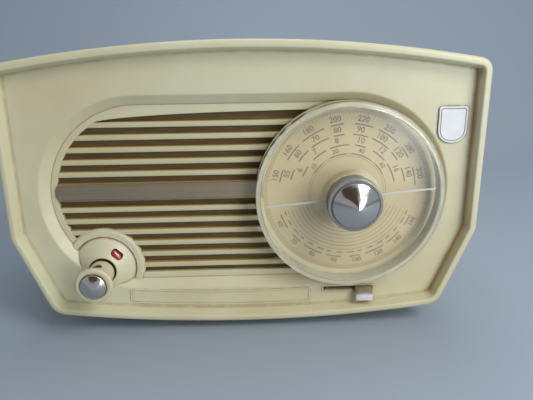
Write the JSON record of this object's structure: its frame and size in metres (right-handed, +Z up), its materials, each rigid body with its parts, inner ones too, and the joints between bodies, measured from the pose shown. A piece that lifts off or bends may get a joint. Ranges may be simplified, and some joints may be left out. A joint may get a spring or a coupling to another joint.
{
  "type": "table radio",
  "caption": "Cream moulded table radio with a louvre grille, a clear round tuning disc over a printed dial, a volume knob, a sliding band lever and a vented back.",
  "frame": {"origin": "centre of the box in plan, at the underside of the feet", "axes": "+Z up, +X to the right as seen from the front, +Y from the front to the back"},
  "size_m": [0.2846, 0.162, 0.1786],
  "materials": {
    "cream": "cream moulded resin, lightly worn",
    "gilt": "champagne coloured metal",
    "chrome": "polished plating",
    "clear": "clear cast plastic",
    "smoke": "smoky clear plastic, fluted",
    "white": "white line",
    "scale": "printed card",
    "red": "red indicator",
    "cloth": "brown and gold weave",
    "board": "pressed fibreboard",
    "steel": "plated sheet and rod",
    "aluminium": "pressed aluminium",
    "brass": "turned brass",
    "dark": "dark moulding and lacquered iron",
    "paper": "grey paper cone",
    "ceramic": "fired ceramic tube",
    "glass": "blown glass",
    "rubber": "black rubber"
  },
  "bodies": {
    "case": {"aerial_socket_strip": "dark", "back_cover": "board", "back_screw_1": "steel", "back_screw_2": "steel", "back_screw_3": "steel", "back_screw_4": "steel", "badge_plate": "gilt", "baffle_board": "board", "band_switch": "board", "board_screw_1": "steel", "board_screw_2": "steel", "cabinet": "cream", "chassis": "steel", "chassis_screw_1": "steel", "chassis_screw_2": "steel", "cord_grommet": "rubber", "dial_scale": "scale", "dropper_resistor": "ceramic", "foot_front_left": "rubber", "foot_front_right": "rubber", "foot_rear_left": "rubber", "foot_rear_right": "rubber", "gang_frame": "steel", "gang_stator": "aluminium", "grille": "cream", "grille_strip": "gilt", "if_can_1": "aluminium", "if_can_2": "aluminium", "output_transformer": "dark", "pot_bracket": "steel", "pot_nut": "brass", "smoothing_can": "aluminium", "speaker_cloth": "cloth", "speaker_frame": "steel", "speaker_magnet": "dark", "valve_1": "glass", "valve_2": "glass", "valve_3": "glass", "valve_4": "glass", "valve_5": "glass", "valve_socket_1": "dark", "valve_socket_2": "dark", "valve_socket_3": "dark", "valve_socket_4": "dark", "valve_socket_5": "dark", "volume_pot": "steel"},
    "tuning": {"dial_disc": "clear", "dial_pointer": "white", "tuning_grip": "smoke", "tuning_cap": "chrome", "tuning_shaft": "steel", "gang_rotor": "aluminium"},
    "volume": {"volume_knob": "cream", "volume_cap": "chrome", "volume_set_screw": "steel", "volume_shaft": "steel", "volume_indicator": "red"},
    "band": {"band_lever": "cream"},
    "cone": {"speaker_cone": "paper"}
  },
  "joints": [
    {"name": "tuning_turn", "type": "hinge", "parent": "case", "child": "tuning", "pos_m": [0.063, -0.054, 0.087], "axis": [0, 1, 0], "range_deg": [0, 180]},
    {"name": "volume_turn", "type": "hinge", "parent": "case", "child": "volume", "pos_m": [-0.09, -0.054, 0.0405], "axis": [0, 1, 0], "range_deg": [0, 290]},
    {"name": "band_slide", "type": "slide", "parent": "case", "child": "band", "axis": [1, 0, 0], "range_m": [-0.02, 0]},
    {"name": "cone_travel", "type": "slide", "parent": "case", "child": "cone", "axis": [0, 1, 0], "range_m": [-0.001, 0.001], "stiffness_N_per_m": 1000}
  ]
}
